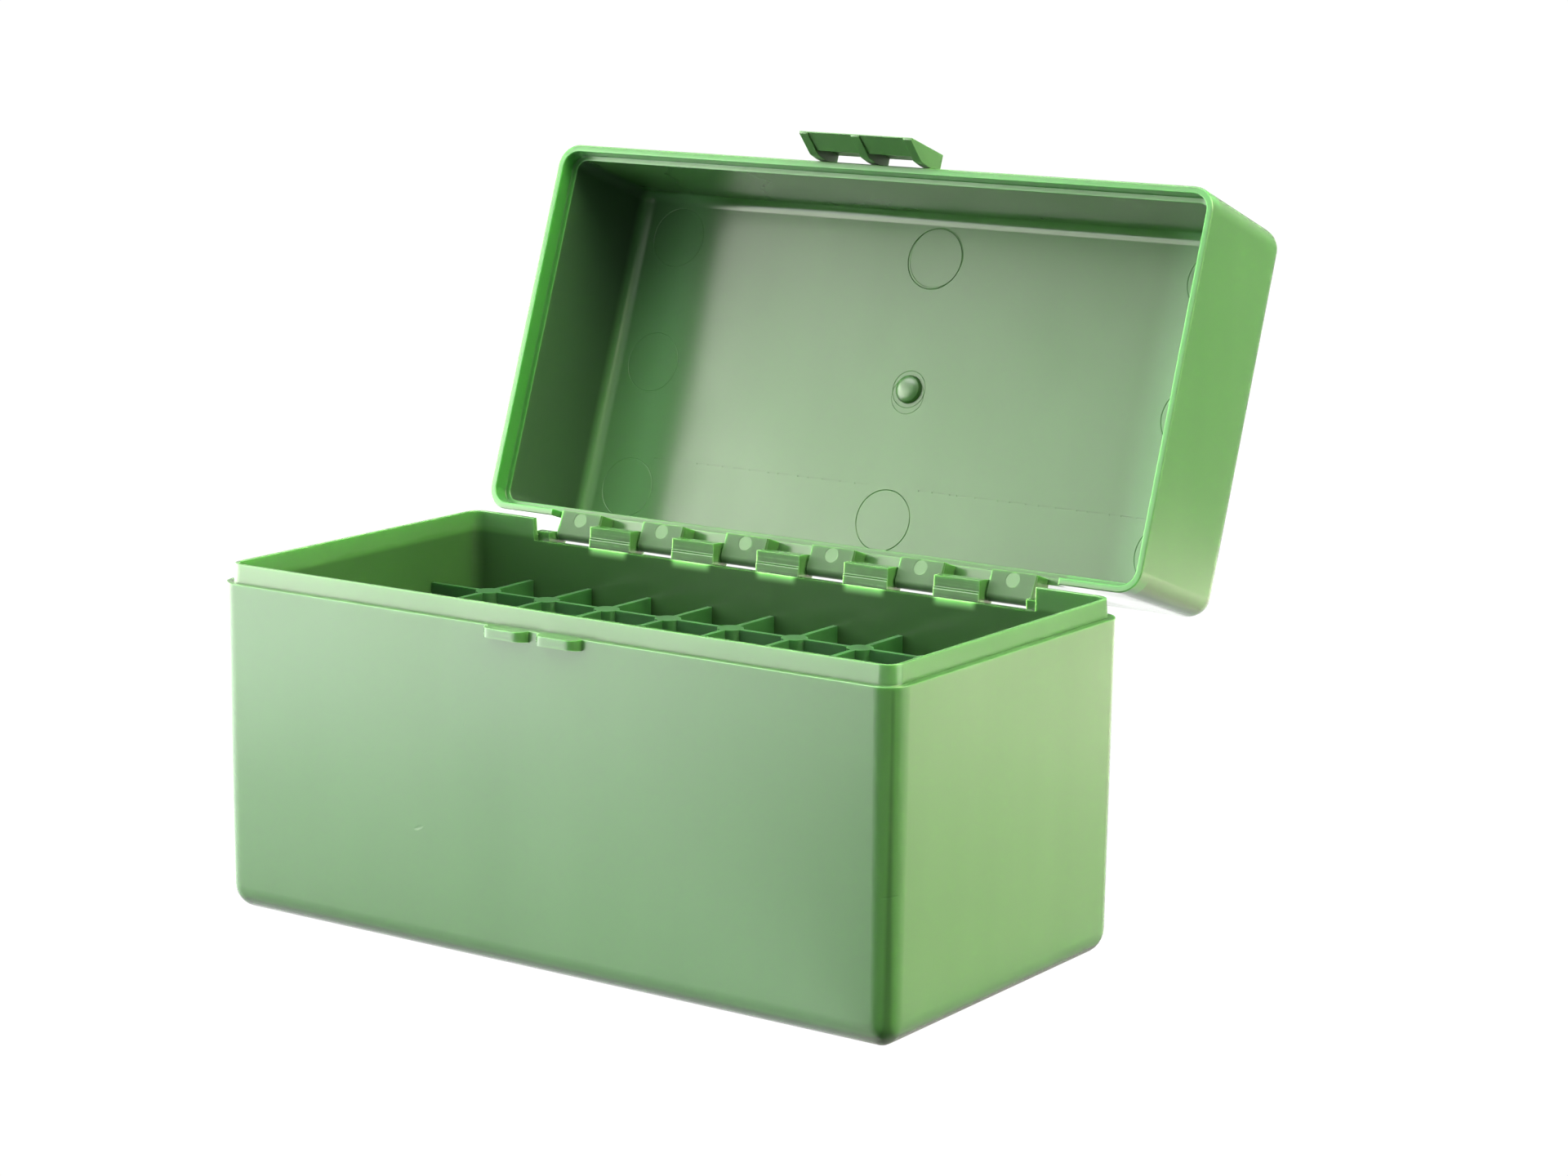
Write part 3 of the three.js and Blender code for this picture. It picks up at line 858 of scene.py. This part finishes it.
def make_insert():
    wall = LIP_INSET + LIP_THICKNESS
    columns = [(i - 4) * CELL_X for i in range(9)]
    rows = [(i - 1.5) * CELL_Y for i in range(4)]
    cross = [prism_x("cross", rib_outline(HALF_Y - wall), x - RIB / 2, x + RIB / 2) for x in columns]
    long_ribs = []
    for y in rows:
        outline = rib_outline(HALF_X - wall)
        rib = prism_x("long", outline, y - RIB / 2, y + RIB / 2)
        rib.data.transform(Matrix.Rotation(math.radians(-90), 4, "Z"))
        for vertex in rib.data.vertices:
            vertex.co.y = -vertex.co.y
        recalculate_normals(rib)
        long_ribs.append(rib)
    posts = []
    for x in columns:
        for y in rows:
            posts.append(prism_z("post", circle_points((x, y), POST, steps=28), insert_foot, insert_top))
    insert = join("divider_insert", long_ribs)
    boolean(insert, join("cross_ribs", cross), "UNION")
    boolean(insert, join("posts", posts), "UNION")
    soften(insert, 0.12, 2, 50)
    shade(insert, 40)
    replaced = [node for node in frame["nodes"] if node.startswith("divider")]
    finish_piece(insert, "divider", INSERT, replaced)


# ---------------------------------------------------------------------------------------------
# Studio
# ---------------------------------------------------------------------------------------------
def curve(n, value, stops):
    """A run of brightnesses up to BRIGHTEST, from (position, brightness) pairs."""
    ramp = n.ramp(value, [(position, (level / BRIGHTEST,)) for position, level in stops])
    return n.math("MULTIPLY", ramp, BRIGHTEST)


def around(n, direction, stops):
    """Brightness by azimuth."""
    x, y, _ = n.axes(direction)
    angle = n.math("ARCTAN2", x, n.math("MULTIPLY", y, -1.0))
    turn = n.math("ADD", n.math("MULTIPLY", angle, 1 / math.tau), 0.5)
    return curve(n, turn, [((azimuth + 180) / 360, level) for azimuth, level in stops])


def by_height(n, direction, stops):
    """Brightness by elevation."""
    height = n.math("ADD", n.math("MULTIPLY", n.axes(direction)[2], 0.5), 0.5)
    return curve(n, height, [((math.sin(math.radians(e)) + 1) / 2, level) for e, level in stops])


def lamp(n, direction, azimuth, elevation, inner, outer, level):
    """A soft round lamp in the tent."""
    a, e = math.radians(azimuth), math.radians(elevation)
    facing = n.add("ShaderNodeVectorMath", operation="DOT_PRODUCT")
    n.link(direction, facing.inputs[0])
    facing.inputs[1].default_value = (math.sin(a) * math.cos(e), -math.cos(a) * math.cos(e), math.sin(e))
    edge, core = (math.cos(math.radians(angle)) for angle in (outer, inner))
    return n.between(facing.outputs["Value"], edge, core, 0.0, level)


def white_to_camera(n, colour):
    """The camera sees plain white, and everything else sees the colour."""
    return n.mix(n.add("ShaderNodeLightPath").outputs["Is Camera Ray"], colour, (1.02, 1.02, 1.02))


def make_tent():
    """The world: a white light tent round the box."""
    world = bpy.data.worlds.new("white_tent")
    bpy.context.scene.world = world
    n = Nodes(world, "Generated")
    direction = n.place
    band = n.both(around(n, direction, TENT_BAND), by_height(n, direction, TENT_FALL))
    level = n.math("ADD", band, by_height(n, direction, TENT_SKY))
    colour = n.mix(1.0, level, TENT_TINT, "MULTIPLY")
    for *numbers, tint in LAMPS:
        colour = n.mix(1.0, colour, n.mix(1.0, lamp(n, direction, *numbers), tint, "MULTIPLY"), "ADD")
    n.link(white_to_camera(n, colour), n.tree.nodes["Background"].inputs["Color"])


def contact_shade(n):
    """Darker where the paper is under the box or close to it."""
    x, y, _ = n.axes(n.place)
    past = []
    for place, half in ((x, HALF_X - 2), (y, HALF_Y - 2)):
        beyond = n.math("SUBTRACT", n.math("ABSOLUTE", place), half * MM)
        past.append(n.math("MAXIMUM", beyond, 0.0))
    return n.between(n.hypotenuse(*past), 0.0, CONTACT_REACH * MM, CONTACT_SHADE, 1.0)


def white_paper():
    """Paper that glows as the tent's floor, brighter away from the box and by azimuth."""
    material = bpy.data.materials.new("white_paper")
    n = Nodes(material)
    from_corner = n.add("ShaderNodeVectorMath", operation="SUBTRACT")
    n.link(n.place, from_corner.inputs[0])
    from_corner.inputs[1].default_value = (0.072, -0.036, 0)
    band = around(n, from_corner.outputs["Vector"], PAPER_BAND)
    level = n.both(band, curve(n, n.length(n.place), PAPER_RISE))
    level = n.both(level, contact_shade(n))
    tint = n.ramp(n.axes(n.place)[0], PAPER_TINT)
    glow = n.add("ShaderNodeEmission")
    n.link(white_to_camera(n, n.mix(1.0, level, tint, "MULTIPLY")), glow.inputs["Color"])
    n.link(glow.outputs[0], n.tree.nodes["Material Output"].inputs["Surface"])
    return material


def make_studio():
    """The camera sees plain white behind the box and under it."""
    bpy.context.scene.view_settings.view_transform = "Standard"
    make_tent()
    signs = [(-1, -1), (1, -1), (1, 1), (-1, 1)]
    corners = [(PAPER_HALF * x, PAPER_HALF * y, PAPER_Z) for x, y in signs]
    floor = new_object("floor", corners, [(0, 1, 2, 3)])
    floor.data.materials.append(white_paper())


make_camera()
make_base()
make_lid()
make_catch()
make_insert()
make_studio()
